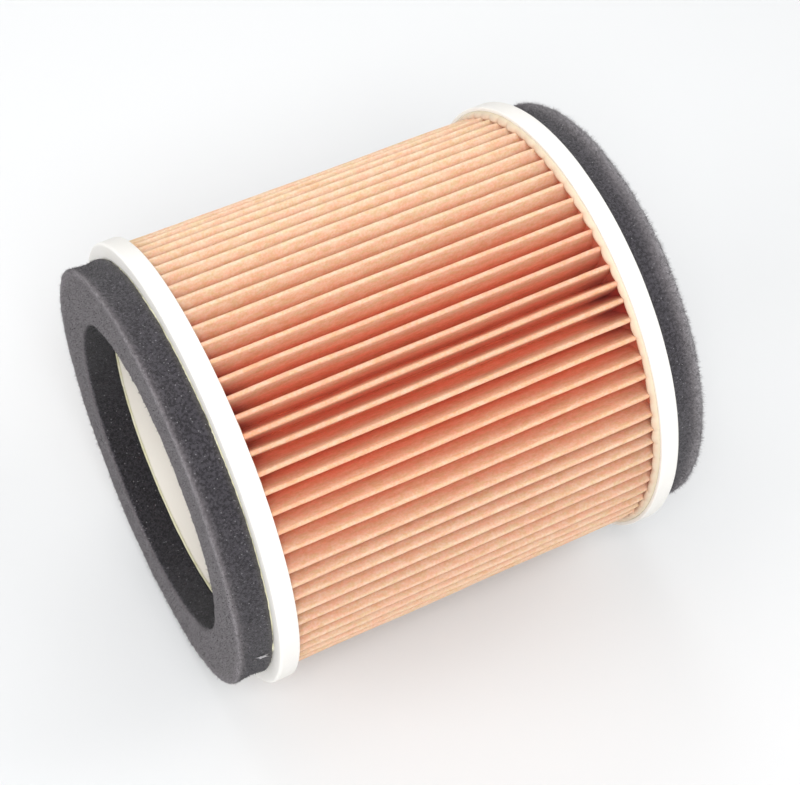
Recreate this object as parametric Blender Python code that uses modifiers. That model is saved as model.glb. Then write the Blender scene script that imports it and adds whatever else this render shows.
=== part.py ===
"""Cylindrical pleated-paper air filter with a foam gasket on each end.

The filter lies on its side on the rims of its two end caps. Its axis runs along X, CAP_RADIUS
above the ground, with the front end at -X. The origin is on the ground under the filter's
middle. Units are metres and +Z is up.
"""

import math

import bmesh
import bpy

# Driving dimensions
OVERALL_LENGTH = 0.126
CAP_RADIUS = 0.058
BORE_RADIUS = 0.040
GASKET_LENGTH = 0.009
GASKET_RADIUS = 0.0545
CAP_DEPTH = 0.005
PLEAT_COUNT = 75
PLEAT_TIP_RADIUS = 0.0559
PLEAT_ROOT_RADIUS = 0.0425

# Walls, films and small features
CAP_WALL = 0.0012
CAP_INNER_WALL = 0.0010
CAP_COLLAR_DEPTH = 0.0070
CAP_CHAMFER = 0.0008
GLUE_THICKNESS = 0.0006
GLUE_RADIUS = 0.0540
POTTING_PROUD = 0.0016
PAPER_THICKNESS = 0.0006
FOLD_WIDTH = 0.0010
CORE_THICKNESS = 0.0006
CORE_COLUMNS = 24
CORE_ROWS = 8
CORE_LIGAMENT = 0.0024
SEAM_THICKNESS = 0.0005
SEAM_HEIGHT = 0.0055
SEAM_INSET = 0.0015
SEAM_END_MARGIN = 0.0010

# Clearance between pieces that touch, and the number of flats around each turned ring
GAP = 0.0003
RING_SEGMENTS = 64

# The angle of the first pleat, which holds the paper's seam, from straight up towards -Y
FIRST_PLEAT_ANGLE = math.radians(35.1)

# Places along the axis, from the filter's middle
CAP_FACE = OVERALL_LENGTH / 2 - GASKET_LENGTH
CAP_EDGE = CAP_FACE - CAP_DEPTH
POTTING_FACE = CAP_EDGE - POTTING_PROUD
ELEMENT_END = POTTING_FACE - GAP

FRONT = -1
REAR = 1
END_NAMES = {FRONT: "front", REAR: "rear"}

# Colours are linear RGB
WHITE_PLASTIC = (0.86, 0.85, 0.82)
CREAM_RESIN = (0.84, 0.72, 0.52)
YELLOW_GLUE = (0.78, 0.70, 0.45)
GREY_FOAM = (0.062, 0.058, 0.064)
FILTER_PAPER = (0.83, 0.38, 0.25)
ZINC_STEEL = (0.55, 0.56, 0.57)
SEAM_RESIN = (0.60, 0.42, 0.26)


def clear_scene():
    """Remove every object that the file opened with."""
    for item in list(bpy.data.objects):
        bpy.data.objects.remove(item, do_unlink=True)


def plain_material(name, color, roughness, metallic=0.0):
    """A Principled material with one colour."""
    material = bpy.data.materials.new(name)
    material.use_nodes = True
    shader = material.node_tree.nodes["Principled BSDF"]
    shader.inputs["Base Color"].default_value = (*color, 1.0)
    shader.inputs["Roughness"].default_value = roughness
    shader.inputs["Metallic"].default_value = metallic
    return material


class Filter:
    """The collection that the pieces go in, and the empty on the axis that carries them."""

    def __init__(self):
        self.collection = bpy.data.collections.new("air_filter")
        bpy.context.scene.collection.children.link(self.collection)
        self.axis = bpy.data.objects.new("filter_axis", None)
        self.axis.location = (0, 0, CAP_RADIUS)
        self.collection.objects.link(self.axis)

    def add(self, name, mesh, material, turn=(0, 0, 0)):
        """Put a mesh on the axis as a named piece, turned about the axis's middle."""
        piece = bpy.data.objects.new(name, mesh)
        piece.parent = self.axis
        piece.rotation_euler = turn
        mesh.materials.append(material)
        self.collection.objects.link(piece)
        return piece


def bake_modifiers(piece):
    """Keep the result of a piece's modifiers as its mesh, smooth across shallow angles."""
    graph = bpy.context.evaluated_depsgraph_get()
    mesh = bpy.data.meshes.new_from_object(piece.evaluated_get(graph))
    piece.modifiers.clear()
    piece.data = mesh
    mesh.shade_smooth()
    mesh.set_sharp_from_angle(angle=math.radians(30))


def turned_ring(assembly, name, end, profile, material):
    """A ring turned about the axis from (radius, place along the axis) points.

    The points go outwards over the end face, down the outer side and back up the bore. Each
    radius is measured to the middle of a flat, and one flat faces straight down.
    """
    half_flat = math.tan(math.pi / RING_SEGMENTS)
    points = [(radius, radius * half_flat, along) for radius, along in profile]
    edges = [(i, (i + 1) % len(points)) for i in range(len(points))]
    mesh = bpy.data.meshes.new(name)
    mesh.from_pydata(points, edges, [])
    ring = assembly.add(name, mesh, material, turn=(0, end * math.pi / 2, 0))
    screw = ring.modifiers.new("Turn", "SCREW")
    screw.axis = "Z"
    screw.steps = RING_SEGMENTS
    screw.render_steps = RING_SEGMENTS
    screw.merge_threshold = 0.00001
    bake_modifiers(ring)
    return ring


def end_cap(assembly, end):
    """A shallow channel that the resin is poured into, with a longer collar around the bore."""
    floor = CAP_FACE - CAP_WALL
    collar_edge = CAP_FACE - CAP_COLLAR_DEPTH
    profile = [
        (BORE_RADIUS, CAP_FACE),
        (CAP_RADIUS - CAP_CHAMFER, CAP_FACE),
        (CAP_RADIUS, CAP_FACE - CAP_CHAMFER),
        (CAP_RADIUS, CAP_EDGE),
        (CAP_RADIUS - CAP_WALL, CAP_EDGE),
        (CAP_RADIUS - CAP_WALL, floor),
        (BORE_RADIUS + CAP_INNER_WALL, floor),
        (BORE_RADIUS + CAP_INNER_WALL, collar_edge),
        (BORE_RADIUS, collar_edge),
    ]
    name = END_NAMES[end] + "_end_cap"
    material = plain_material(name, WHITE_PLASTIC, roughness=0.45)
    turned_ring(assembly, name, end, profile, material)


def ring_section(inner_radius, outer_radius, outer_place, inner_place):
    """The profile of a ring with a rectangular section, outer_place being nearer the end."""
    return [
        (inner_radius, outer_place),
        (outer_radius, outer_place),
        (outer_radius, inner_place),
        (inner_radius, inner_place),
    ]


def potting(assembly, end):
    """The resin in a cap's channel, standing a little proud of the cap's edge."""
    inner_radius = BORE_RADIUS + CAP_INNER_WALL + GAP
    outer_radius = CAP_RADIUS - CAP_WALL - GAP
    profile = ring_section(inner_radius, outer_radius, CAP_FACE - CAP_WALL - GAP, POTTING_FACE)
    name = END_NAMES[end] + "_potting"
    material = plain_material(name, CREAM_RESIN, roughness=0.4)
    turned_ring(assembly, name, end, profile, material)


def gasket_glue(assembly, end):
    """The film of glue between a cap and its foam gasket."""
    near_cap = CAP_FACE + GAP
    profile = ring_section(BORE_RADIUS, GLUE_RADIUS, near_cap + GLUE_THICKNESS, near_cap)
    name = END_NAMES[end] + "_gasket_glue"
    material = plain_material(name, YELLOW_GLUE, roughness=0.4)
    turned_ring(assembly, name, end, profile, material)


def foam_gasket(assembly, end):
    """The foam ring that seals against the housing."""
    glued_side = CAP_FACE + GLUE_THICKNESS + 2 * GAP
    profile = ring_section(BORE_RADIUS, GASKET_RADIUS, OVERALL_LENGTH / 2, glued_side)
    name = END_NAMES[end] + "_foam_gasket"
    material = plain_material(name, GREY_FOAM, roughness=0.95)
    turned_ring(assembly, name, end, profile, material)


def around_axis(angle, radial, sideways):
    """The (y, z) of a point at an angle from straight up towards -Y, shifted sideways."""
    y = -radial * math.sin(angle) - sideways * math.cos(angle)
    z = radial * math.cos(angle) - sideways * math.sin(angle)
    return y, z


def pleat_outline():
    """The paper's middle surface as one closed zigzag of (y, z) points with blunt folds."""
    half_paper = PAPER_THICKNESS / 2
    half_fold = FOLD_WIDTH / 2
    half_pitch = math.pi / PLEAT_COUNT
    outline = []
    for pleat in range(PLEAT_COUNT):
        tip_angle = FIRST_PLEAT_ANGLE + 2 * half_pitch * pleat
        tip = PLEAT_TIP_RADIUS - half_paper
        root = PLEAT_ROOT_RADIUS + half_paper
        for angle, radial in ((tip_angle, tip), (tip_angle + half_pitch, root)):
            outline.append(around_axis(angle, radial, -half_fold))
            outline.append(around_axis(angle, radial, half_fold))
    return outline


def pleated_paper(assembly):
    """The filter paper, folded lengthwise, from one cap's resin to the other's."""
    bm = bmesh.new()
    ring = [bm.verts.new((-ELEMENT_END, y, z)) for y, z in pleat_outline()]
    edges = [bm.edges.new((ring[i - 1], ring[i])) for i in range(len(ring))]
    swept = bmesh.ops.extrude_edge_only(bm, edges=edges)
    far_side = [item for item in swept["geom"] if isinstance(item, bmesh.types.BMVert)]
    bmesh.ops.translate(bm, verts=far_side, vec=(2 * ELEMENT_END, 0, 0))
    mesh = bpy.data.meshes.new("pleated_paper")
    bm.to_mesh(mesh)
    bm.free()
    material = plain_material("pleated_paper", FILTER_PAPER, roughness=0.9)
    paper = assembly.add("pleated_paper", mesh, material)
    solidify = paper.modifiers.new("Paper thickness", "SOLIDIFY")
    solidify.thickness = PAPER_THICKNESS
    solidify.offset = 0.0
    solidify.use_even_offset = True
    bake_modifiers(paper)


def seam_strip(assembly):
    """The strip that joins the paper's two ends, inside the first fold."""
    height_middle = PLEAT_ROOT_RADIUS + SEAM_INSET + SEAM_HEIGHT / 2
    length = 2 * (ELEMENT_END - SEAM_END_MARGIN)
    bm = bmesh.new()
    bmesh.ops.create_cube(bm, size=1.0)
    bmesh.ops.scale(bm, verts=bm.verts, vec=(length, SEAM_THICKNESS, SEAM_HEIGHT))
    bmesh.ops.translate(bm, verts=bm.verts, vec=(0, 0, height_middle))
    mesh = bpy.data.meshes.new("pleat_seam_strip")
    bm.to_mesh(mesh)
    bm.free()
    material = plain_material("pleat_seam_strip", SEAM_RESIN, roughness=0.6)
    assembly.add("pleat_seam_strip", mesh, material, turn=(FIRST_PLEAT_ANGLE, 0, 0))


def support_core(assembly):
    """The perforated steel tube behind the paper, which keeps it from folding inwards."""
    outer_corner = PLEAT_ROOT_RADIUS - GAP
    bm = bmesh.new()
    bmesh.ops.create_cone(
        bm, segments=CORE_COLUMNS, radius1=outer_corner, radius2=outer_corner,
        depth=2 * ELEMENT_END, cap_ends=False,
    )
    lengthwise = [edge for edge in bm.edges if edge.calc_length() > ELEMENT_END]
    bmesh.ops.subdivide_edges(bm, edges=lengthwise, cuts=CORE_ROWS - 1, use_grid_fill=True)
    panels = list(bm.faces)
    bmesh.ops.inset_individual(bm, faces=panels, thickness=CORE_LIGAMENT / 2)
    bmesh.ops.delete(bm, geom=panels, context="FACES_ONLY")
    mesh = bpy.data.meshes.new("support_core")
    bm.to_mesh(mesh)
    bm.free()
    material = plain_material("support_core", ZINC_STEEL, roughness=0.35, metallic=1.0)
    core = assembly.add("support_core", mesh, material, turn=(0, math.pi / 2, 0))
    solidify = core.modifiers.new("Sheet thickness", "SOLIDIFY")
    solidify.thickness = CORE_THICKNESS
    solidify.offset = -1.0
    solidify.use_even_offset = True
    bake_modifiers(core)


def build():
    clear_scene()
    assembly = Filter()
    for end in (FRONT, REAR):
        end_cap(assembly, end)
        potting(assembly, end)
        gasket_glue(assembly, end)
        foam_gasket(assembly, end)
    pleated_paper(assembly)
    seam_strip(assembly)
    support_core(assembly)


build()
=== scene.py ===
"""The looks of a pleated-paper air filter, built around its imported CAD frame.

Metres, +Z up. The filter's axis runs along X at the height AXIS_Z, with the front end at -X.
Angles around the axis are measured from straight up towards -Y, the side that the camera sees.
"""

import math

import bmesh
import bpy
import numpy as np
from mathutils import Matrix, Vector, noise


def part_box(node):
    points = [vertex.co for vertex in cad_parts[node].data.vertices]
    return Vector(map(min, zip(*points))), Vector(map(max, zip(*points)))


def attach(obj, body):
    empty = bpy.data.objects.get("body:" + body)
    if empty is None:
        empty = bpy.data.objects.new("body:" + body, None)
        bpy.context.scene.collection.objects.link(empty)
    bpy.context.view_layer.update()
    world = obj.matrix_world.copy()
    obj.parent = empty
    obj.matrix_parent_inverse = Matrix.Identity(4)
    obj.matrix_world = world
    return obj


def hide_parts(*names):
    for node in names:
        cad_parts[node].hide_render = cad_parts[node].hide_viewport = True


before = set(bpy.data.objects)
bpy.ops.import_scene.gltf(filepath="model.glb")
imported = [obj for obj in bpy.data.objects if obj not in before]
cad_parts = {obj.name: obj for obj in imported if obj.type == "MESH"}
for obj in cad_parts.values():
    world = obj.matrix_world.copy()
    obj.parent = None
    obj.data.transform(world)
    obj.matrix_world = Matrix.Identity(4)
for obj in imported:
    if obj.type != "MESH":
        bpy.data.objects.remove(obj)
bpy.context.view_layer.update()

MM = 0.001
FRONT, REAR = -1, 1
END_NAMES = {FRONT: "front", REAR: "rear"}


def reach(node):
    """The smallest and largest distance of a CAD node's corners from the filter's axis."""
    corners = [(v.co.y, v.co.z - AXIS_Z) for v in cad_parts[node].data.vertices]
    distances = [math.hypot(y, z) for y, z in corners]
    return min(distances), max(distances)


def rim_edge(node, radius):
    """The place along the axis of the inner edge of a rear CAD node's rim, which is at a radius."""
    corners = [v.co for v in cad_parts[node].data.vertices]
    return min(c.x for c in corners if math.hypot(c.y, c.z - AXIS_Z) > radius - 0.5 * MM)


# Sizes read from the frame. GAP is what its touching solids keep between them.
GAP = 0.3 * MM
cap_low, cap_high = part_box("rear_end_cap")
AXIS_Z = (cap_low.z + cap_high.z) / 2
CAP_RADIUS = (cap_high.z - cap_low.z) / 2
COLLAR_EDGE, CAP_FACE = cap_low.x, cap_high.x
CAP_EDGE = rim_edge("rear_end_cap", CAP_RADIUS)
CAP_WALL = CAP_RADIUS - reach("rear_potting")[1] - GAP
BORE_RADIUS = reach("rear_end_cap")[0]
GASKET_RADIUS = (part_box("rear_foam_gasket")[1].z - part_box("rear_foam_gasket")[0].z) / 2
FILTER_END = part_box("rear_foam_gasket")[1].x
RESIN_INNER = reach("rear_potting")[0]
PLEAT_ROOT, PLEAT_TIP = reach("pleated_paper")
CORE_OUTER = reach("support_core")[1]

# Paper
PLEATS = 75
PITCH = 2 * math.pi / PLEATS
SEAM_ANGLE = math.radians(35.1)
PAPER_THICKNESS = 0.5 * MM
TIP_BEND = 0.35 * MM
ROOT_BEND = 0.26 * MM
PAPER_TWIST = math.radians(-0.86)  # from one cap to the other
REAR_PINCH = 0.4 * MM  # how far the tips drop at the rear cap
PINCH_LENGTH = 3.5 * MM
# Where neighbouring pleats stand off their even places: the middle pleat, the shift in degrees
# and how many pleats share it. The seam at pleat 0 pulls its neighbours together.
BUNCHES = ((0.8, -0.45, 0.9), (2.7, -0.2, 1.2), (7.0, 1.25, 1.2), (16.0, 2.0, 8.0),
           (-8.0, -0.35, 2.5))

# Colours that change around the filter, each with its middle and its width in degrees from the
# seam: the painted shade in the valleys beside each cap, the redder painted shade around the seam,
# the paler gaps in it with how pale each is, the darker painted shade on the folds and the duller
# painted shade lower down
CAP_SHADES = {FRONT: (-8.0, 15.0), REAR: (4.0, 9.0)}
CAP_SHADE_LENGTH = 5.5 * MM
SEAM_SHADE = (5.0, 30.0)
SEAM_SHADE_GAPS = ((6.5, 3.5, 0.45), (-8.0, 5.0, 0.35))
SEAM_VALLEYS = (0.0, 4.0)
FOLD_SHADE = (-7.0, 13.0)
LOWER_SHADE = (57.0, 34.0)

# Camera
CAMERA_AZIMUTH = math.radians(-27.5)
CAMERA_ELEVATION = math.radians(51.0)
CAMERA_DISTANCE = 0.5130
CAMERA_AIM = Vector((0.0057, -0.0030, 0.0558))
CAMERA_LENS = 90.45
CAMERA_SENSOR = 36.0

# The stage: the white world's strength, each soft light's name, place, width and power, and the
# distance from the middle of the floor to its edge
WORLD_STRENGTH = 0.35
LIGHTS = (
    ("front_light", (-0.28, -0.75, 1.0), 0.6, 11.3),
    ("front_left_light", (-0.9, -0.6, 0.8), 0.6, 1.15),
    ("left_light", (-1.1, 0.1, 0.5), 0.6, 4.35),
    ("top_light", (-0.1, 0.1, 1.3), 0.6, 0.8),
    ("near_back_light", (0.05, 0.38, 0.42), 0.4, 0.68),
    ("back_light", (0.1, 0.8, 0.9), 0.9, 0.3),
    ("right_light", (0.95, -0.3, 0.7), 0.6, 3.6),
)
FLOOR_HALF_SIZE = 8.0


# ---------------------------------------------------------------- shapes

def around(x, radius, angle):
    """Points at a distance from the axis, at angles from straight up towards -Y."""
    y = -radius * np.sin(angle)
    z = AXIS_Z + radius * np.cos(angle)
    return np.stack([x + 0 * angle, y, z], axis=-1)


def grid_normals(grid):
    """The outward unit normal at each point of a grid that closes on itself both ways."""
    down = np.roll(grid, -1, axis=0) - np.roll(grid, 1, axis=0)
    across = np.roll(grid, -1, axis=1) - np.roll(grid, 1, axis=1)
    normal = np.cross(down, across)
    normal *= np.sign(np.sum(grid * normal))
    return normal / np.maximum(np.linalg.norm(normal, axis=-1, keepdims=True), 1e-12)


def grid_mesh(name, grid, values=None, spikes=None):
    """A closed mesh from a grid of points that closes on itself both ways, facing outwards.

    values maps the name of a point attribute to a number for each point of the grid. spikes are
    more closed shapes in the same mesh, as spike_points makes them, with values of their own.
    """
    rows, columns = grid.shape[:2]
    row = np.arange(rows)[:, None]
    column = np.arange(columns)[None, :]
    next_row = (row + 1) % rows
    next_column = (column + 1) % columns
    corners = [row * columns + column, next_row * columns + column,
               next_row * columns + next_column, row * columns + next_column]
    quads = np.stack(corners, axis=-1).reshape(-1, 4)
    points = grid.reshape(-1, 3)
    a, b, c, d = (points[quads[:, i]] for i in range(4))
    if np.einsum("ij,ij->", a, np.cross(b, c) + np.cross(c, d)) < 0:
        quads = quads[:, ::-1]
    faces = quads.tolist()
    values = {label: np.asarray(numbers).reshape(-1) for label, numbers in (values or {}).items()}
    if spikes:
        spike_corners, spike_values = spikes
        first = len(points) + 4 * np.arange(len(spike_corners))
        for side in ((0, 1, 3), (1, 2, 3), (2, 0, 3), (2, 1, 0)):
            faces += (first[:, None] + np.array(side)).tolist()
        points = np.vstack([points, spike_corners.reshape(-1, 3)])
        for label, numbers in spike_values.items():
            values[label] = np.concatenate([values[label], np.repeat(numbers, 4)])
    mesh = bpy.data.meshes.new(name)
    mesh.from_pydata(points.tolist(), [], faces)
    for label, numbers in values.items():
        attribute = mesh.attributes.new(label, "FLOAT", "POINT")
        attribute.data.foreach_set("value", numbers.astype(np.float32))
    mesh.shade_smooth()
    return mesh


def spike_points(roots, runs, widths):
    """Closed three-sided spikes: three corners around each root, and a tip a run away from it."""
    ahead = runs / np.linalg.norm(runs, axis=-1, keepdims=True)
    side = np.cross(ahead, (0.36, 0.48, 0.80))
    side /= np.linalg.norm(side, axis=-1, keepdims=True)
    other = np.cross(ahead, side)
    corners = []
    for turn in range(3):
        a = turn * 2 * math.pi / 3
        corners.append(roots + widths[:, None] * (side * math.cos(a) + other * math.sin(a)))
    return np.stack(corners + [roots + runs], axis=1)


def ripple(points, size, seed):
    """Smooth noise from about -1 to 1 at each point, with lumps of about the given size."""
    moved = points.reshape(-1, 3) / size + 31.7 * seed
    values = [noise.noise(p) for p in moved.tolist()]
    return np.array(values).reshape(points.shape[:-1])


def bell(value, middle, width):
    """One at the middle, falling away smoothly on both sides of it."""
    return np.exp(-((value - middle) / width) ** 2)


def rounded(corners, steps=5):
    """The closed outline of (radius, x, fillet) corners, with every corner rounded."""
    outline = []
    places = [np.array(corner[:2]) for corner in corners]
    for i, place in enumerate(places):
        fillet = corners[i][2]
        before = places[i - 1] - place
        after = places[(i + 1) % len(places)] - place
        before /= np.linalg.norm(before)
        after /= np.linalg.norm(after)
        half = math.acos(np.clip(before @ after, -1, 1)) / 2
        bisector = (before + after) / np.linalg.norm(before + after)
        centre = place + bisector * fillet / math.sin(half)
        start = place + before * fillet / math.tan(half) - centre
        stop = place + after * fillet / math.tan(half) - centre
        turn = math.atan2(start[0] * stop[1] - start[1] * stop[0], start @ stop)
        for step in range(steps + 1):
            a = turn * step / steps
            outline.append(centre + np.array([start[0] * math.cos(a) - start[1] * math.sin(a),
                                              start[0] * math.sin(a) + start[1] * math.cos(a)]))
    return np.array(outline)


def resampled(outline, spacing):
    """The same closed outline with points about the given distance apart."""
    closed = np.vstack([outline, outline[:1]])
    lengths = np.linalg.norm(np.diff(closed, axis=0), axis=1)
    along = np.concatenate([[0], np.cumsum(lengths)])
    wanted = np.linspace(0, along[-1], max(8, round(along[-1] / spacing)), endpoint=False)
    return np.stack([np.interp(wanted, along, closed[:, i]) for i in range(2)], axis=-1)


def turned(outline, end, segments):
    """A grid of (radius, x) points turned about the axis, with x mirrored at the front end."""
    angles = np.linspace(0, 2 * math.pi, segments, endpoint=False)[:, None]
    return around(end * outline[None, :, 1] + 0 * angles, outline[None, :, 0], angles)


def add_piece(name, mesh, material, slot, *nodes):
    """Put a mesh in the scene as a piece that stands for some CAD nodes."""
    piece = bpy.data.objects.new(name, mesh)
    mesh.materials.append(material)
    bpy.context.scene.collection.objects.link(piece)
    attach(piece, "root")
    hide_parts(*nodes)
    return piece


# ---------------------------------------------------------------- materials

class Surface:
    """A node material around one Principled shader, with short names for its nodes."""

    def __init__(self, name, roughness, **constants):
        self.material = bpy.data.materials.new(name)
        self.material.use_nodes = True
        self.nodes = self.material.node_tree.nodes
        self.shader = self.nodes["Principled BSDF"]
        self.shader.inputs["Roughness"].default_value = roughness
        for socket, value in constants.items():
            self.shader.inputs[socket.replace("_", " ")].default_value = value
        self.place = self.nodes.new("ShaderNodeTexCoord").outputs["Object"]

    def link(self, output, socket):
        self.material.node_tree.links.new(output, socket)

    def feed(self, node, name, value):
        """Set a node's input to a number or colour, or join it to another node's output."""
        socket = node.inputs[name]
        if isinstance(value, bpy.types.NodeSocket):
            self.link(value, socket)
        else:
            socket.default_value = value

    def attribute(self, name):
        node = self.nodes.new("ShaderNodeAttribute")
        node.attribute_name = name
        return node.outputs["Fac"]

    def stretched(self, factors):
        """The place, scaled along X, Y and Z."""
        node = self.nodes.new("ShaderNodeMapping")
        self.link(self.place, node.inputs["Vector"])
        node.inputs["Scale"].default_value = factors
        return node.outputs["Vector"]

    def noise(self, size, detail=3.0, place=None):
        node = self.nodes.new("ShaderNodeTexNoise")
        self.link(place or self.place, node.inputs["Vector"])
        node.inputs["Scale"].default_value = 1 / size
        node.inputs["Detail"].default_value = detail
        return node.outputs["Fac"]

    def cells(self, size, feature="F1", output="Distance"):
        node = self.nodes.new("ShaderNodeTexVoronoi")
        node.feature = feature
        self.link(self.place, node.inputs["Vector"])
        node.inputs["Scale"].default_value = 1 / size
        return node.outputs[output]

    def math(self, operation, a, b=0.0):
        node = self.nodes.new("ShaderNodeMath")
        node.operation = operation
        self.feed(node, 0, a)
        self.feed(node, 1, b)
        return node.outputs[0]

    def spread(self, value, low, high, to_low=0.0, to_high=1.0):
        """A value from low to high mapped to another range, and held at its ends."""
        node = self.nodes.new("ShaderNodeMapRange")
        self.link(value, node.inputs["Value"])
        limits = {"From Min": low, "From Max": high, "To Min": to_low, "To Max": to_high}
        for name, number in limits.items():
            node.inputs[name].default_value = number
        return node.outputs["Result"]

    def ramp(self, value, *stops):
        """A colour for each value, from (value, (r, g, b)) stops."""
        node = self.nodes.new("ShaderNodeValToRGB")
        self.link(value, node.inputs["Fac"])
        elements = node.color_ramp.elements
        while len(elements) < len(stops):
            elements.new(0.5)
        for element, (position, color) in zip(elements, stops):
            element.position = position
            element.color = (*color, 1.0)
        return node.outputs["Color"]

    def times(self, a, b):
        return self.math("MULTIPLY", a, b)

    def mix(self, share, a, b, blend="MIX"):
        """Two colours mixed, each a tuple or another node's output."""
        node = self.nodes.new("ShaderNodeMix")
        node.data_type = "RGBA"
        node.blend_type = blend
        self.feed(node, 0, share)
        self.feed(node, 6, a if isinstance(a, bpy.types.NodeSocket) else (*a, 1.0))
        self.feed(node, 7, b if isinstance(b, bpy.types.NodeSocket) else (*b, 1.0))
        return node.outputs[2]

    def dyed(self, base, share, color):
        """A colour multiplied by another, as far as the share says."""
        return self.mix(share, base, color, "MULTIPLY")

    def bump(self, height, depth, strength=1.0):
        """Add a height to the surface, depth metres for a height of one."""
        node = self.nodes.new("ShaderNodeBump")
        node.inputs["Strength"].default_value = strength
        node.inputs["Distance"].default_value = depth
        self.link(height, node.inputs["Height"])
        normal = self.shader.inputs["Normal"]
        if normal.is_linked:
            self.link(normal.links[0].from_socket, node.inputs["Normal"])
        self.link(node.outputs["Normal"], normal)

    def color(self, output):
        self.link(output, self.shader.inputs["Base Color"])

    def roughness(self, output):
        self.link(output, self.shader.inputs["Roughness"])


def paper_material():
    """Fibrous filter paper: painted paler on the folds and darker and redder down the valleys as
    painted shade, with painted shade in the valleys beside the caps.
    """
    surface = Surface("filter_paper", roughness=0.92, Sheen_Weight=0.06, Sheen_Roughness=0.5)
    surface.shader.inputs["Sheen Tint"].default_value = (1.0, 0.86, 0.72, 1.0)
    surface.shader.inputs["Specular IOR Level"].default_value = 0.06
    depth = surface.attribute("depth")
    # Paler on the folds, darker and redder deeper in the valleys: painted shade
    base = surface.ramp(depth, (0.0, (0.838, 0.65, 0.497)), (0.10, (0.808, 0.604, 0.455)),
                        (0.25, (0.79, 0.53, 0.386)), (0.5, (0.90, 0.436, 0.295)),
                        (0.8, (0.97, 0.467, 0.306)), (1.0, (0.94, 0.457, 0.295)))

    # Broad painted shade around the filter: redder around the seam, darker on the folds beside it
    # and duller lower down
    base = surface.dyed(base, surface.attribute("seam_shade"), (1.05, 0.84, 0.76))
    on_folds = surface.spread(depth, 0.02, 0.22, 1.0, 0.0)
    fold = surface.times(surface.attribute("fold_shade"), on_folds)
    base = surface.dyed(base, fold, (1.0, 0.92, 0.94))
    in_valleys = surface.spread(depth, 0.0, 0.2, 0.35, 1.0)
    lower = surface.times(surface.attribute("lower_shade"), in_valleys)
    base = surface.dyed(base, lower, (0.85, 0.735, 0.72))

    # Pink and ochre mottling, and fine fibres
    along = surface.stretched((0.4, 1.0, 1.0))
    mirrored = surface.stretched((0.5, 1.0, -1.0))
    pink = surface.spread(surface.noise(1.6 * MM, 4.0, along), 0.42, 0.6)
    base = surface.dyed(base, surface.times(pink, 0.55), (1.0, 0.78, 0.77))
    ochre = surface.spread(surface.noise(1.2 * MM, 4.0, mirrored), 0.45, 0.63)
    base = surface.dyed(base, surface.times(ochre, 0.55), (0.84, 0.91, 0.70))
    fibres = surface.spread(surface.noise(0.6 * MM), 0.38, 0.62)
    base = surface.dyed(base, surface.times(fibres, 0.65), (0.95, 0.81, 0.66))

    # Darker valleys at the seam, and painted shade in the valleys beside the caps
    deep = surface.spread(depth, 0.15, 0.6)
    seam = surface.times(surface.attribute("seam"), deep)
    base = surface.dyed(base, seam, (0.95, 0.86, 0.84))
    cap_shade = surface.times(surface.attribute("cap_shade"), deep)
    base = surface.dyed(base, cap_shade, (0.62, 0.24, 0.30))
    surface.color(base)
    surface.bump(surface.noise(1.1 * MM, 4.0, along), 0.14 * MM, 0.7)
    surface.bump(surface.noise(0.28 * MM, 4.0), 0.08 * MM, 0.9)
    return surface.material


def cap_material():
    """Moulded white plastic, a little uneven, with a satin finish, creamier inside the bore."""
    surface = Surface("cap_plastic", roughness=0.6)
    clouds = surface.spread(surface.noise(14 * MM), 0.3, 0.7)
    base = surface.mix(clouds, (0.905, 0.885, 0.85), (0.88, 0.86, 0.815))
    base = surface.mix(surface.times(surface.attribute("inside"), 0.9), base, (0.98, 0.93, 0.84))
    surface.color(base)
    surface.roughness(surface.spread(surface.noise(3 * MM, 4.0), 0.3, 0.7, 0.52, 0.68))
    surface.bump(surface.noise(1.4 * MM), 0.03 * MM, 0.5)
    return surface.material


def resin_material():
    """Potting resin with a soft gloss: cream at its rim, and painted darker and redder down among
    the pleats as painted shade.
    """
    surface = Surface("potting_resin", roughness=0.5)
    surface.shader.inputs["Specular IOR Level"].default_value = 0.35
    # Cream at the rim, darker and redder where it lies sunk among the pleats: painted shade
    sunk_shade = surface.attribute("sunk_shade")
    base = surface.ramp(sunk_shade, (0.0, (0.70, 0.49, 0.35)), (0.4, (0.71, 0.42, 0.29)),
                        (0.7, (0.85, 0.38, 0.25)), (1.0, (0.95, 0.38, 0.24)))
    clouds = surface.spread(surface.noise(2.2 * MM), 0.42, 0.62)
    pale = surface.times(clouds, surface.spread(sunk_shade, 0.0, 0.6, 0.55, 0.0))
    base = surface.mix(pale, base, (0.72, 0.60, 0.47))
    base = surface.mix(surface.times(surface.attribute("rim"), 0.85), base, (0.71, 0.65, 0.49))
    # Painted shade on the resin among the pleats beside the caps
    cap_shade = surface.times(surface.attribute("cap_shade"), surface.spread(sunk_shade, 0.3, 0.8))
    base = surface.dyed(base, cap_shade, (0.55, 0.20, 0.24))
    surface.color(base)
    surface.bump(surface.noise(0.9 * MM), 0.10 * MM, 0.6)
    return surface.material


def glue_material():
    """The pale yellow film that holds a foam ring to its cap."""
    surface = Surface("gasket_glue", roughness=0.35)
    clouds = surface.spread(surface.noise(2.5 * MM), 0.35, 0.65)
    surface.color(surface.mix(clouds, (0.88, 0.86, 0.66), (0.80, 0.77, 0.50)))
    surface.bump(surface.noise(0.8 * MM), 0.06 * MM, 0.5)
    return surface.material


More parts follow.
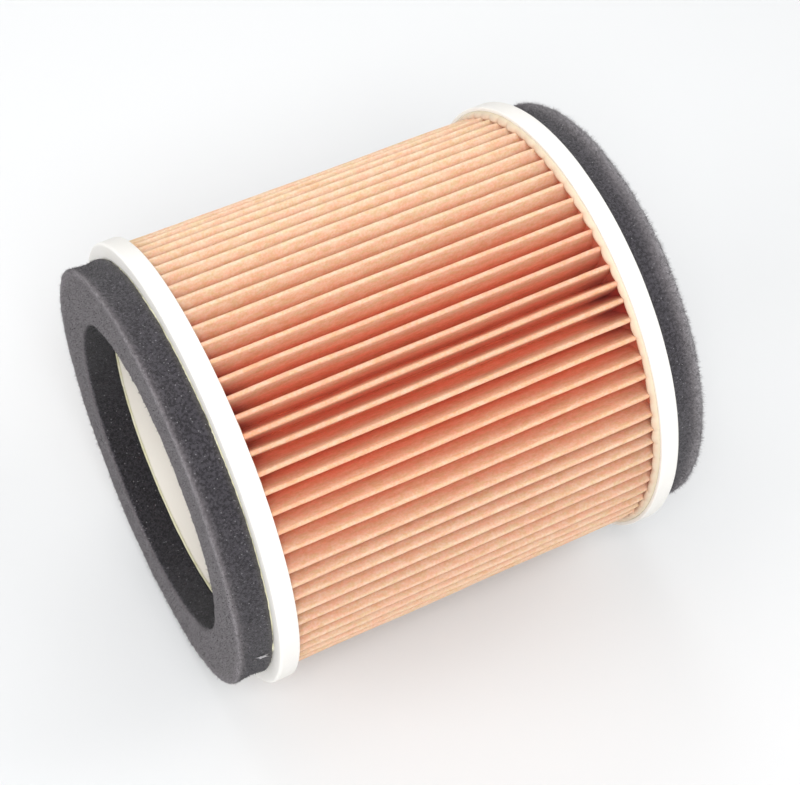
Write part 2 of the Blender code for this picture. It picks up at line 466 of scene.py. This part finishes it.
def foam_material():
    """Open-cell grey foam: dark pores, painted paler on its end face and rim as painted light,
    partly wear, darker in the bore as painted shade, with glints and pale fluff that is painted
    backlight.
    """
    surface = Surface("foam", roughness=0.95, Sheen_Weight=0.15, Sheen_Roughness=0.6)
    surface.shader.inputs["Specular IOR Level"].default_value = 0.2
    # How pale each place is: paler on the end face and at the rim, partly wear and partly painted
    # light, darkest in the bore, painted shade
    tone_and_light = surface.attribute("tone_and_light")
    base = surface.ramp(tone_and_light, (0.0, (0.032, 0.029, 0.034)), (0.3, (0.064, 0.059, 0.069)),
                        (0.7, (0.150, 0.136, 0.144)), (1.0, (0.25, 0.232, 0.244)))
    grains = surface.spread(surface.noise(0.65 * MM, 2.0), 0.42, 0.58)
    grains = surface.times(grains, surface.spread(tone_and_light, 0.35, 0.7, 0.95, 0.42))
    base = surface.dyed(base, grains, (0.38, 0.37, 0.38))
    patches = surface.spread(surface.noise(5 * MM, 4.0), 0.3, 0.7)
    base = surface.dyed(base, surface.times(patches, 0.3), (0.84, 0.80, 0.86))
    base = surface.mix(surface.times(surface.attribute("glued"), 0.35), base, (0.11, 0.10, 0.07))
    glints = surface.spread(surface.cells(1.25 * MM), 0.07, 0.15, 1.0, 0.0)
    base = surface.mix(surface.times(glints, 0.5), base, (0.46, 0.45, 0.47))
    # Pale strands where the front foam is torn, and pale fluff at the rear rim painted as backlight
    base = surface.mix(surface.attribute("torn_and_backlit"), base, (0.62, 0.60, 0.62))
    surface.color(base)
    walls = surface.spread(surface.cells(0.45 * MM, "DISTANCE_TO_EDGE"), 0.02, 0.25, 1.0, 0.0)
    surface.bump(walls, 0.16 * MM, 0.7)
    surface.bump(surface.noise(0.3 * MM), 0.10 * MM, 0.7)
    return surface.material


def core_material():
    """Zinc-plated sheet steel with faint spangle."""
    surface = Surface("core_steel", roughness=0.35, Metallic=1.0)
    spangle = surface.cells(6 * MM, output="Color")
    surface.color(surface.mix(0.12, (0.58, 0.59, 0.60), spangle))
    surface.roughness(surface.spread(surface.noise(4 * MM, 4.0), 0.3, 0.7, 0.28, 0.48))
    return surface.material


def seam_material():
    """Hardened brown glue."""
    surface = Surface("seam_resin", roughness=0.5)
    clouds = surface.spread(surface.noise(2 * MM), 0.35, 0.65)
    surface.color(surface.mix(clouds, (0.60, 0.40, 0.24), (0.46, 0.28, 0.15)))
    surface.bump(surface.noise(0.7 * MM), 0.08 * MM, 0.6)
    return surface.material


def floor_material():
    """A matt white sweep."""
    surface = Surface("floor", roughness=0.9)
    clouds = surface.spread(surface.noise(0.5, 2.0), 0.3, 0.7)
    surface.color(surface.mix(clouds, (0.778, 0.787, 0.794), (0.763, 0.772, 0.779)))
    return surface.material


# ---------------------------------------------------------------- end caps, resin and glue

CAP_SEGMENTS = 288
CAP_FILLET = 0.8 * MM
CAP_EDGE_FILLET = 0.35 * MM
CAP_ROUGHNESS = 0.04 * MM


def end_cap(end, material):
    """A moulded channel and its bore collar, with rounded rims, very slightly uneven."""
    floor = CAP_FACE - CAP_WALL
    inner_wall = RESIN_INNER - GAP
    outline = rounded([
        (BORE_RADIUS, CAP_FACE, 0.5 * MM),
        (CAP_RADIUS, CAP_FACE, CAP_FILLET),
        (CAP_RADIUS, CAP_EDGE, CAP_EDGE_FILLET),
        (CAP_RADIUS - CAP_WALL, CAP_EDGE, CAP_EDGE_FILLET),
        (CAP_RADIUS - CAP_WALL, floor, 0.3 * MM),
        (inner_wall, floor, 0.3 * MM),
        (inner_wall, COLLAR_EDGE, CAP_EDGE_FILLET),
        (BORE_RADIUS, COLLAR_EDGE, CAP_EDGE_FILLET),
    ])
    grid = turned(outline, end, CAP_SEGMENTS)
    grid += grid_normals(grid) * (CAP_ROUGHNESS * ripple(grid, 9 * MM, 3 + end))[..., None]
    in_bore = np.clip(1 - (outline[:, 0] - BORE_RADIUS) / (0.5 * MM), 0, 1)
    name = END_NAMES[end] + "_end_cap"
    mesh = grid_mesh("cap_of_" + END_NAMES[end], grid, {"inside": in_bore + 0 * grid[..., 0]})
    mesh.set_sharp_from_angle(angle=math.radians(50))
    return add_piece("moulded_" + name, mesh, material, "cap_plastic", name)


def from_seam(angle):
    """Angles around the axis as degrees from the seam, between -180 and 180."""
    return (np.degrees(angle - SEAM_ANGLE) + 180) % 360 - 180


def cap_shading(end, angle):
    """How darkly the ends of the pleats are painted with shade at each angle, for the painted shade
    beside the caps.
    """
    middle, width = CAP_SHADES[end]
    return 0.2 + 0.8 * bell(from_seam(angle), middle, width)


def tip_angles(station_x):
    """The angle of every pleat's tip at each place along the filter: pleats by places."""
    pleat = np.arange(PLEATS)
    place = (pleat + PLEATS // 2) % PLEATS - PLEATS // 2
    shift = sum(degrees * bell(place, middle, width) for middle, degrees, width in BUNCHES)
    chance = np.random.RandomState(11)
    jitter = chance.normal(0, 0.09, PLEATS)
    lean = smooth_chance(chance, PLEATS, station_x, 0.07)
    even = SEAM_ANGLE + PITCH * pleat
    twist = PAPER_TWIST * station_x / (2 * CAP_EDGE)
    return even[:, None] + np.radians(shift + jitter)[:, None] + np.radians(lean) + twist[None, :]


def smooth_chance(chance, count, station_x, size, knots=6):
    """Rows of seeded noise that change smoothly along the filter."""
    places = np.linspace(-CAP_FACE, CAP_FACE, knots)
    values = chance.normal(0, size, (count, knots))
    share = (1 - np.cos(math.pi * (np.interp(station_x, places, np.arange(knots)) % 1))) / 2
    left = np.minimum(np.searchsorted(places, station_x, side="right") - 1, knots - 2).clip(0)
    return values[:, left] * (1 - share) + values[:, left + 1] * share


# How far the resin stands past the cap's edge: at the tips of the pleats and in the beads between
# them. Further in it lies lower.
RESIN_PROUD = {FRONT: (0.3 * MM, 0.2 * MM), REAR: (0.9 * MM, 0.55 * MM)}
RESIN_SUNK = 0.6 * MM
RESIN_OUTER = CAP_RADIUS - CAP_WALL
RESIN_ANGLES = 12
RESIN_RINGS = 26


def potting(end, material):
    """Resin around the ends of the pleats, beaded between their tips."""
    at_tips, in_beads = RESIN_PROUD[end]
    tips = np.sort(tip_angles(np.array([end * CAP_EDGE]))[:, 0])
    tips = np.append(tips, tips[0] + 2 * math.pi)
    share = np.arange(RESIN_ANGLES) / RESIN_ANGLES
    angle = (tips[:-1, None] + np.diff(tips)[:, None] * share[None, :]).reshape(-1)
    valley = np.tile(np.sin(math.pi * share) ** 0.8, PLEATS)
    chance = np.random.RandomState(40 + end)
    bead = np.repeat(chance.uniform(0.3, 1.5, PLEATS), RESIN_ANGLES)
    radius = np.linspace(RESIN_INNER, RESIN_OUTER + 0.05 * MM, RESIN_RINGS)
    near_tips = np.clip((radius - (PLEAT_TIP - 2.2 * MM)) / (1.7 * MM), 0, 1)
    shoulder = np.sqrt(np.clip((radius[-1] - radius) / (0.9 * MM), 0, 1))
    beaded = at_tips + in_beads * (valley * bead)[:, None]
    proud = near_tips[None, :] * (beaded + RESIN_SUNK) - RESIN_SUNK
    flat_face = around(CAP_EDGE, radius[None, :] + 0 * proud, angle[:, None] + 0 * proud)
    lumps = ripple(flat_face, 2.6 * MM, 8 + end)
    # The resin sunk among the pleats is painted darker and redder: painted shade
    sunk_shade = (1 - near_tips[None, :] + 0.2 * lumps).clip(0, 1)
    proud = (proud + 0.15 * MM * lumps) * shoulder[None, :] - 0.05 * MM
    x = end * (CAP_EDGE - proud)
    back = end * (CAP_FACE - CAP_WALL)
    x = np.hstack([x, np.full((len(angle), 2), back)])
    radius = np.append(radius, [radius[-1], radius[0]])
    grid = around(x, radius[None, :], angle[:, None])
    sunk_shade = np.hstack([sunk_shade, np.zeros((len(angle), 2))])
    rim = np.clip(1 - (RESIN_OUTER - radius) / (0.7 * MM), 0, 1) + 0 * sunk_shade
    # Painted shade beside the caps, as on the paper
    cap_shade = cap_shading(end, angle)[:, None] + 0 * sunk_shade
    values = {"sunk_shade": sunk_shade, "rim": rim, "cap_shade": cap_shade}
    name = END_NAMES[end] + "_potting"
    mesh = grid_mesh("resin_of_" + END_NAMES[end], grid, values)
    mesh.set_sharp_from_angle(angle=math.radians(60))
    return add_piece("cast_" + name, mesh, material, "potting_resin", name)


GLUE_FILM = 0.3 * MM
GLUE_SEGMENTS = 360
GLUE_BEAD = 0.12 * MM
GLUE_SINK = 0.05 * MM


def gasket_glue(end, material):
    """A film of glue with a bead squeezed out into the bore, and a little at the outside."""
    outer = GASKET_RADIUS - 0.85 * MM
    outline = rounded([
        (BORE_RADIUS - GLUE_BEAD, CAP_FACE - 0.15 * MM, 0.1 * MM),
        (BORE_RADIUS + 0.6 * MM, CAP_FACE - GLUE_SINK, 0.1 * MM),
        (outer, CAP_FACE - GLUE_SINK, 0.1 * MM),
        (outer, CAP_FACE + GLUE_FILM, 0.1 * MM),
        (BORE_RADIUS - GLUE_BEAD, CAP_FACE + GLUE_FILM + 0.1 * MM, 0.1 * MM),
    ], steps=4)
    grid = turned(outline, end, GLUE_SEGMENTS)
    lumps = ripple(grid, 5 * MM, 20 + end)
    at_outside = outline[:, 0] > outer - 0.3 * MM
    squeezed = np.where(at_outside, 0.7 * MM * lumps.clip(0), GLUE_BEAD * lumps)
    grid += grid_normals(grid) * squeezed[..., None]
    name = END_NAMES[end] + "_gasket_glue"
    mesh = grid_mesh("glue_of_" + END_NAMES[end], grid)
    return add_piece("squeezed_" + name, mesh, material, "gasket_glue", name)


# ---------------------------------------------------------------- foam

FOAM_SPACING = 0.8 * MM
FOAM_SEGMENTS = 420
FOAM_WAIST = 0.45 * MM
# Torn cell walls: how many there are, the shortest length and the range of widths in millimetres
FOAM_STRUTS = 37000
STRUT_LENGTH = 0.17
STRUT_WIDTH = (0.06, 0.11)
# How much taller, closer together and thinner they stand near the free rim, and how wide and how
# pale the band there is, partly wear and partly painted light
FOAM_FUZZ = {FRONT: 0.4, REAR: 1.7}
FOAM_CROWD = {FRONT: 1.0, REAR: 20.0}
FOAM_THIN = {FRONT: 0.2, REAR: 0.42}
FOAM_WORN_AND_LIT = {FRONT: (1.3 * MM, 0.36), REAR: (2.7 * MM, 0.62)}
# How far the free rim is painted pale as fluff lit from behind: painted light
FOAM_BACKLIT_FLUFF = {FRONT: 0.0, REAR: 0.5}
# A small tear in the front foam's outer side: its angle, its distance from the end face, the
# width of its strands, and each strand's start and run in millimetres around the side and along it
TEAR_ANGLE = math.radians(99.7)
TEAR_DEPTH = 6.0 * MM
TEAR_WIDTH = 0.32 * MM
TEAR_STRANDS = (((0.2, -0.2), (-1.3, 2.3)), ((0.0, 0.5), (-0.5, -2.4)), ((0.0, -0.1), (1.6, -1.9)),
                ((0.3, 0.9), (0.2, -1.6)), ((-0.3, 0.8), (0.5, -1.5)))


def struts(end, grid, tone_and_light, held, loose, chance):
    """Torn cell walls that stand up on a grid where it isn't held, more of them where it is loose.

    Returns their spikes, how pale each is, partly painted light, and how much painted backlight
    each takes. Lengths are in millimetres.
    """
    down = np.roll(grid, -1, axis=0) - grid
    across = np.roll(grid, -1, axis=1) - grid
    area = np.linalg.norm(np.cross(down, across), axis=-1)
    weight = area * (1 - held) * (1 + FOAM_CROWD[end] * loose)
    chosen = chance.choice(weight.size, FOAM_STRUTS, p=(weight / weight.sum()).reshape(-1))
    place = np.divmod(chosen, grid.shape[1])
    share = chance.uniform(0, 1, (2, FOAM_STRUTS, 1))
    out = grid_normals(grid)[place]
    roots = grid[place] + share[0] * down[place] + share[1] * across[place] - 0.06 * MM * out
    ahead = out + chance.normal(0, 0.40, (FOAM_STRUTS, 3))
    ahead /= np.linalg.norm(ahead, axis=-1, keepdims=True)
    lengths = STRUT_LENGTH + chance.exponential(0.16, FOAM_STRUTS).clip(0, 0.5)
    lengths *= 1 + FOAM_FUZZ[end] * loose[place]
    widths = chance.uniform(*STRUT_WIDTH, FOAM_STRUTS) * (1 - FOAM_THIN[end] * loose[place])
    points = spike_points(roots, ahead * (MM * lengths)[:, None], MM * widths)
    # A few struts painted bright as painted glints, and paler near the loose rim as painted light
    pale = chance.exponential(0.15, FOAM_STRUTS).clip(0, 0.6)
    pale += 0.55 * (chance.uniform(0, 1, FOAM_STRUTS) > 0.93 - 0.2 * loose[place])
    return points, tone_and_light[place] - 0.14 + pale + 0.2 * loose[place], FOAM_BACKLIT_FLUFF[end] * loose[place]


def tear(end):
    """Pale strands that lie across the outer side of a foam ring."""
    starts = MM * np.array([start for start, run in TEAR_STRANDS])
    runs = MM * np.array([run for start, run in TEAR_STRANDS])
    radius = GASKET_RADIUS + 0.2 * MM

    def on_side(places):
        x = end * (FILTER_END - TEAR_DEPTH) + end * places[:, 1]
        return around(x, radius, TEAR_ANGLE + places[:, 0] / radius)

    roots = on_side(starts)
    return spike_points(roots, on_side(starts + runs) - roots, np.full(len(roots), TEAR_WIDTH))


def foam_gasket(end, material):
    """A die-cut foam ring: its cut sides are drawn in, and its cells show all over."""
    glued_face = CAP_FACE + GLUE_FILM
    outline = resampled(rounded([
        (BORE_RADIUS, glued_face, 0.3 * MM),
        (GASKET_RADIUS, glued_face, 0.5 * MM),
        (GASKET_RADIUS, FILTER_END, 0.7 * MM),
        (BORE_RADIUS, FILTER_END, 0.7 * MM),
    ]), FOAM_SPACING)
    radius, x = outline[:, 0], outline[:, 1]
    drawn_in = np.sin(math.pi * np.clip((x - glued_face) / (FILTER_END - glued_face), 0, 1))
    middle = (BORE_RADIUS + GASKET_RADIUS) / 2
    to_side = np.clip((radius - middle) / (GASKET_RADIUS - middle), -0.6, 1)
    outline[:, 0] -= FOAM_WAIST * drawn_in * to_side ** 3
    grid = turned(outline, end, FOAM_SEGMENTS)
    chance = np.random.RandomState(54 + end)
    height = 0.14 * ripple(grid, 9 * MM, 50 + end) + 0.07 * ripple(grid, 2.2 * MM, 52 + end)
    height += chance.uniform(-0.07, 0.07, height.shape)
    grid += grid_normals(grid) * (MM * height)[..., None]

    # How pale the foam is: most on its end face and in the band around its free rim, partly wear
    # and partly painted light, and least in the bore, which is painted shade
    from_face = np.abs(x - FILTER_END)
    outside = np.clip((radius - middle) / (2 * MM), 0, 1)
    tone_and_light = np.where(from_face < 0.5 * MM, 0.675, 0.04 + 0.26 * outside)
    rim_band_width, rim_band = FOAM_WORN_AND_LIT[end]
    rim_band = rim_band + 0.2 * ripple(grid, 14 * MM, 58 + end)
    from_rim = np.maximum(GASKET_RADIUS - 0.4 * MM - radius, 0) + from_face
    tone_and_light = tone_and_light + rim_band * outside * np.exp(-(from_rim / rim_band_width) ** 2)
    loose = outside * np.exp(-from_face / (2 * MM)) * (radius > GASKET_RADIUS - 1.5 * MM)
    # Paler where the rim is loose: painted light
    tone_and_light = (tone_and_light + 0.1 * loose + 0.05 * ripple(grid, 6 * MM, 56 + end)).clip(0, 1)
    from_glue = np.abs(x - glued_face)
    glued = np.clip(1 - from_glue / (1.3 * MM), 0, 1) * outside + 0 * tone_and_light
    # Pale fluff at the free rim: painted backlight
    rim_glow = loose ** 2 * np.clip((radius - GASKET_RADIUS + 1.5 * MM) / MM, 0, 1)
    torn_and_backlit = FOAM_BACKLIT_FLUFF[end] * rim_glow + 0 * tone_and_light

    held = (from_glue < 0.1 * MM)[None, :]
    points, strut_tone_and_light, strut_torn_and_backlit = struts(end, grid, tone_and_light, held, loose + 0 * tone_and_light, chance)
    if end == FRONT:
        strands = tear(end)
        points = np.concatenate([points, strands])
        strut_tone_and_light = np.append(strut_tone_and_light, np.ones(len(strands)))
        strut_torn_and_backlit = np.append(strut_torn_and_backlit, np.ones(len(strands)))
    strut_values = {"tone_and_light": strut_tone_and_light, "glued": 0 * strut_tone_and_light, "torn_and_backlit": strut_torn_and_backlit}
    name = END_NAMES[end] + "_foam_gasket"
    mesh = grid_mesh("foam_of_" + END_NAMES[end], grid,
                     {"tone_and_light": tone_and_light, "glued": glued, "torn_and_backlit": torn_and_backlit}, (points, strut_values))
    piece = add_piece("open_cell_" + name, mesh, material, "foam", name)
    return piece


# ---------------------------------------------------------------- pleated paper

TIP_STEPS = 6
ROOT_STEPS = 5
FLANK_STEPS = 4
BEND_TURN = math.radians(83)
PAPER_STATIONS = 34
PAPER_SUNK = 0.9 * MM  # how far its ends go past the caps' edges


def section_plane(angle, radial, sideways):
    """(y, z) from the axis of a point beside a spoke, sideways being towards larger angles."""
    y = -radial * np.sin(angle) - sideways * np.cos(angle)
    z = radial * np.cos(angle) - sideways * np.sin(angle)
    return np.stack([y, z], axis=-1)


def bend(angle, centre, size, steps, outward):
    """The points of each fold: an arc around a centre on a spoke, swept towards larger angles."""
    points = []
    for a in np.linspace(-BEND_TURN, BEND_TURN, steps):
        radial = centre + outward * size * math.cos(a)
        points.append(section_plane(angle, radial, size * math.sin(a)))
    return np.stack(points, axis=1)


def paper_section():
    """Places along the filter, and the paper's middle line there: points by places by (y, z)."""
    station = np.linspace(-1, 1, PAPER_STATIONS)
    x = (CAP_EDGE + PAPER_SUNK) * np.sign(station) * np.abs(station) ** 0.85
    tips = tip_angles(x)
    tips_after = np.vstack([tips[1:], tips[:1] + 2 * math.pi])
    chance = np.random.RandomState(23)
    roots = (tips + tips_after) / 2 + np.radians(smooth_chance(chance, PLEATS, x, 0.14))
    tip_radius = PLEAT_TIP - PAPER_THICKNESS / 2 - TIP_BEND - 0.15 * MM
    uneven = chance.normal(0, 0.10, PLEATS)[:, None]
    tip_radius = tip_radius + MM * (uneven + smooth_chance(chance, PLEATS, x, 0.05))
    tip_radius -= REAR_PINCH * np.clip(1 - (CAP_EDGE - x) / PINCH_LENGTH, 0, 1) ** 1.5
    root_radius = PLEAT_ROOT + PAPER_THICKNESS / 2 + ROOT_BEND + 0.1 * MM
    tip = bend(tips, tip_radius, TIP_BEND, TIP_STEPS, 1)
    root = bend(roots, root_radius, ROOT_BEND, ROOT_STEPS, -1)
    next_tip = np.concatenate([tip[1:], tip[:1]])
    bow = MM * smooth_chance(chance, 2 * PLEATS, x, 0.10)
    down = flank(tip[:, -1], root[:, 0], bow[:PLEATS])
    up = flank(root[:, -1], next_tip[:, 0], bow[PLEATS:])
    middle = np.concatenate([tip, down, root, up], axis=1)
    return x, middle.reshape(-1, PAPER_STATIONS, 2)


def flank(start, stop, bow):
    """Points between two folds, bowed a little sideways."""
    share = (np.arange(FLANK_STEPS) + 1) / (FLANK_STEPS + 1)
    share = share[None, :, None, None]
    straight = start[:, None] * (1 - share) + stop[:, None] * share
    run = stop - start
    side = np.stack([-run[..., 1], run[..., 0]], axis=-1)
    side /= np.linalg.norm(run, axis=-1, keepdims=True)
    return straight + np.sin(math.pi * share) * (side * bow[..., None])[:, None]


def pleated_paper(material):
    """The folded sheet with its real thickness, its ends sunk into the resin."""
    x, middle = paper_section()
    along = np.roll(middle, -1, axis=0) - np.roll(middle, 1, axis=0)
    side = np.stack([along[..., 1], -along[..., 0]], axis=-1)
    side /= np.linalg.norm(side, axis=-1, keepdims=True)
    sheets = []
    for offset in (PAPER_THICKNESS / 2, -PAPER_THICKNESS / 2):
        flat = middle + side * offset
        places = np.broadcast_to(x[None, :], flat.shape[:2])
        sheets.append(np.stack([places, flat[..., 0], AXIS_Z + flat[..., 1]], axis=-1))
    grid = np.concatenate([sheets[0], sheets[1][:, ::-1]], axis=1)
    grid += grid_normals(grid) * (0.045 * MM * ripple(grid, 2.4 * MM, 71))[..., None]
    radius = np.hypot(grid[..., 1], grid[..., 2] - AXIS_Z)
    depth = np.clip((PLEAT_TIP - radius) / (PLEAT_TIP - PLEAT_ROOT), 0, 1)
    angle = np.arctan2(-grid[..., 1], grid[..., 2] - AXIS_Z)
    near = np.where(grid[..., 0] > 0, cap_shading(REAR, angle), cap_shading(FRONT, angle))
    from_cap = (CAP_EDGE - np.abs(grid[..., 0])).clip(0)
    turn = from_seam(angle)
    faded = sum(share * bell(turn, centre, width) for centre, width, share in SEAM_SHADE_GAPS)
    shade_middle, shade_width = SEAM_SHADE
    values = {
        "depth": depth,
        # Painted shade in the valleys beside the caps
        "cap_shade": near * bell(from_cap, 0.0, CAP_SHADE_LENGTH),
        "seam": bell(turn, *SEAM_VALLEYS),
        # Painted shade: redder around the seam, darker on the folds there and duller lower down
        "seam_shade": np.exp(-np.abs((turn - shade_middle) / shade_width) ** 3) * (1 - faded),
        "fold_shade": bell(turn, *FOLD_SHADE),
        "lower_shade": bell(turn, *LOWER_SHADE),
    }
    mesh = grid_mesh("folded_sheet", grid, values)
    mesh.set_sharp_from_angle(angle=math.radians(70))
    return add_piece("folded_filter_paper", mesh, material, "filter_paper", "pleated_paper")


def capped_mesh(name, rings):
    """A closed mesh from rings of points, one after another, with a face over each end."""
    count, size = rings.shape[:2]
    faces = []
    for ring in range(count - 1):
        for i in range(size):
            j = (i + 1) % size
            this, above = ring * size, (ring + 1) * size
            faces.append((this + i, this + j, above + j, above + i))
    faces.append(tuple(reversed(range(size))))
    faces.append(tuple(range((count - 1) * size, count * size)))
    mesh = bpy.data.meshes.new(name)
    mesh.from_pydata(rings.reshape(-1, 3).tolist(), [], faces)
    shape = bmesh.new()
    shape.from_mesh(mesh)
    bmesh.ops.recalc_face_normals(shape, faces=shape.faces)
    shape.to_mesh(mesh)
    shape.free()
    mesh.shade_smooth()
    return mesh


STRIP_STATIONS = 40
STRIP_THICKNESS = 0.44 * MM


def seam_strip(material):
    """The glue strip between the two walls of the first pleat, following it along."""
    low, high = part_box("pleat_seam_strip")
    x = np.linspace(low.x, high.x, STRIP_STATIONS)
    angle = tip_angles(x)[0]
    nearest, farthest = reach("pleat_seam_strip")
    half, fillet = STRIP_THICKNESS / 2, 0.1 * MM
    outline = rounded([(nearest, -half, fillet), (farthest, -half, fillet),
                       (farthest, half, fillet), (nearest, half, fillet)], steps=2)
    sections = [section_plane(angle, radial, sideways) for radial, sideways in outline]
    sections = np.stack(sections, axis=1)
    rings = np.concatenate([x[:, None, None] + 0 * sections[..., :1], sections], axis=-1)
    rings[..., 2] += AXIS_Z
    rings[..., 1:] += (0.05 * MM * ripple(rings, 2 * MM, 90))[..., None]
    mesh = capped_mesh("glue_strip", rings)
    return add_piece("seam_glue", mesh, material, "seam_resin", "pleat_seam_strip")


# ---------------------------------------------------------------- support core

CORE_COLUMNS = 36
CORE_ROWS = 13
CORE_HOLE = 2.5 * MM
CORE_THICKNESS = 0.5 * MM
HOLE_STEPS = 16


def support_core(material):
    """A rolled steel tube with staggered rows of round holes, built from square cells."""
    low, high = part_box("support_core")
    length = high.x - low.x + 1.5 * MM
    cell_x = length / CORE_ROWS
    cell_turn = 2 * math.pi / CORE_COLUMNS
    outer = CORE_OUTER - 0.1 * MM
    inner = outer - CORE_THICKNESS
    points, faces, index = [], [], {}

    def point(x, turn, radius):
        """The number of a point on the tube, which cells beside each other share."""
        turn %= 2 * math.pi
        key = (round(x / MM, 3), round(turn * 1000, 1) % round(2000 * math.pi, 1), radius)
        if key not in index:
            index[key] = len(points)
            points.append((x, -radius * math.sin(turn), AXIS_Z + radius * math.cos(turn)))
        return index[key]

    quarter = HOLE_STEPS // 4
    square = []
    for side in range(4):
        for step in range(quarter):
            share = step / quarter - 0.5
            square.append([(share, -0.5), (0.5, share), (-share, 0.5), (-0.5, -share)][side])
    for row in range(CORE_ROWS):
        for column in range(CORE_COLUMNS):
            centre_x = -length / 2 + (row + 0.5) * cell_x
            centre_turn = (column + 0.5 * (row % 2)) * cell_turn
            rim, hole = {}, {}
            for radius in (inner, outer):
                rim[radius], hole[radius] = [], []
                for u, v in square:
                    x, turn = centre_x + v * cell_x, centre_turn + u * cell_turn
                    rim[radius].append(point(x, turn, radius))
                for u, v in square:
                    a = math.atan2(v, u)
                    x = centre_x + CORE_HOLE * math.sin(a)
                    turn = centre_turn + CORE_HOLE * math.cos(a) / outer
                    hole[radius].append(point(x, turn, radius))
            for i in range(HOLE_STEPS):
                j = (i + 1) % HOLE_STEPS
                faces.append((rim[outer][i], hole[outer][i], hole[outer][j], rim[outer][j]))
                faces.append((rim[inner][i], rim[inner][j], hole[inner][j], hole[inner][i]))
                faces.append((hole[outer][i], hole[inner][i], hole[inner][j], hole[outer][j]))
                at_start = row == 0 and i < quarter
                at_stop = row == CORE_ROWS - 1 and 2 * quarter <= i < 3 * quarter
                if at_start or at_stop:
                    faces.append((rim[outer][j], rim[inner][j], rim[inner][i], rim[outer][i]))
    mesh = bpy.data.meshes.new("perforated_tube")
    mesh.from_pydata(points, [], faces)
    mesh.shade_smooth()
    mesh.set_sharp_from_angle(angle=math.radians(40))
    return add_piece("perforated_core", mesh, material, "core_steel", "support_core")


# ---------------------------------------------------------------- stage

def area_light(name, place, aim, size, power):
    """A square soft light that points at a place."""
    data = bpy.data.lights.new(name, "AREA")
    data.size = size
    data.energy = power
    light = bpy.data.objects.new(name, data)
    light.location = place
    light.rotation_euler = (Vector(place) - Vector(aim)).to_track_quat("Z", "Y").to_euler()
    bpy.context.scene.collection.objects.link(light)


def stage():
    """A white floor and world, and soft lights above and around the filter."""
    half = FLOOR_HALF_SIZE
    corners = [(-half, -half, 0), (half, -half, 0), (half, half, 0), (-half, half, 0)]
    mesh = bpy.data.meshes.new("floor")
    mesh.from_pydata(corners, [], [(0, 1, 2, 3)])
    mesh.materials.append(floor_material())
    floor = bpy.data.objects.new("floor", mesh)
    bpy.context.scene.collection.objects.link(floor)

    world = bpy.data.worlds.new("studio")
    bpy.context.scene.world = world
    world.use_nodes = True
    background = world.node_tree.nodes["Background"]
    background.inputs["Color"].default_value = (1.0, 1.0, 1.0, 1.0)
    background.inputs["Strength"].default_value = WORLD_STRENGTH
    for name, place, size, power in LIGHTS:
        area_light(name, place, (0, 0, AXIS_Z), size, power)
    bpy.context.scene.view_settings.view_transform = "Standard"


def place_camera():
    """The camera on the front left of the filter, looking down on it."""
    flat = math.cos(CAMERA_ELEVATION)
    back = Vector((math.sin(CAMERA_AZIMUTH) * flat, -math.cos(CAMERA_AZIMUTH) * flat,
                   math.sin(CAMERA_ELEVATION)))
    data = bpy.data.cameras.new("camera")
    data.lens = CAMERA_LENS
    data.sensor_width = CAMERA_SENSOR
    camera = bpy.data.objects.new("camera", data)
    camera.location = CAMERA_AIM + back * CAMERA_DISTANCE
    camera.rotation_euler = back.to_track_quat("Z", "Y").to_euler()
    bpy.context.scene.collection.objects.link(camera)
    bpy.context.scene.camera = camera


def build():
    place_camera()
    cap, resin, glue, foam = cap_material(), resin_material(), glue_material(), foam_material()
    for end in (FRONT, REAR):
        end_cap(end, cap)
        potting(end, resin)
        gasket_glue(end, glue)
        foam_gasket(end, foam)
    pleated_paper(paper_material())
    support_core(core_material())
    seam_strip(seam_material())
    stage()


build()
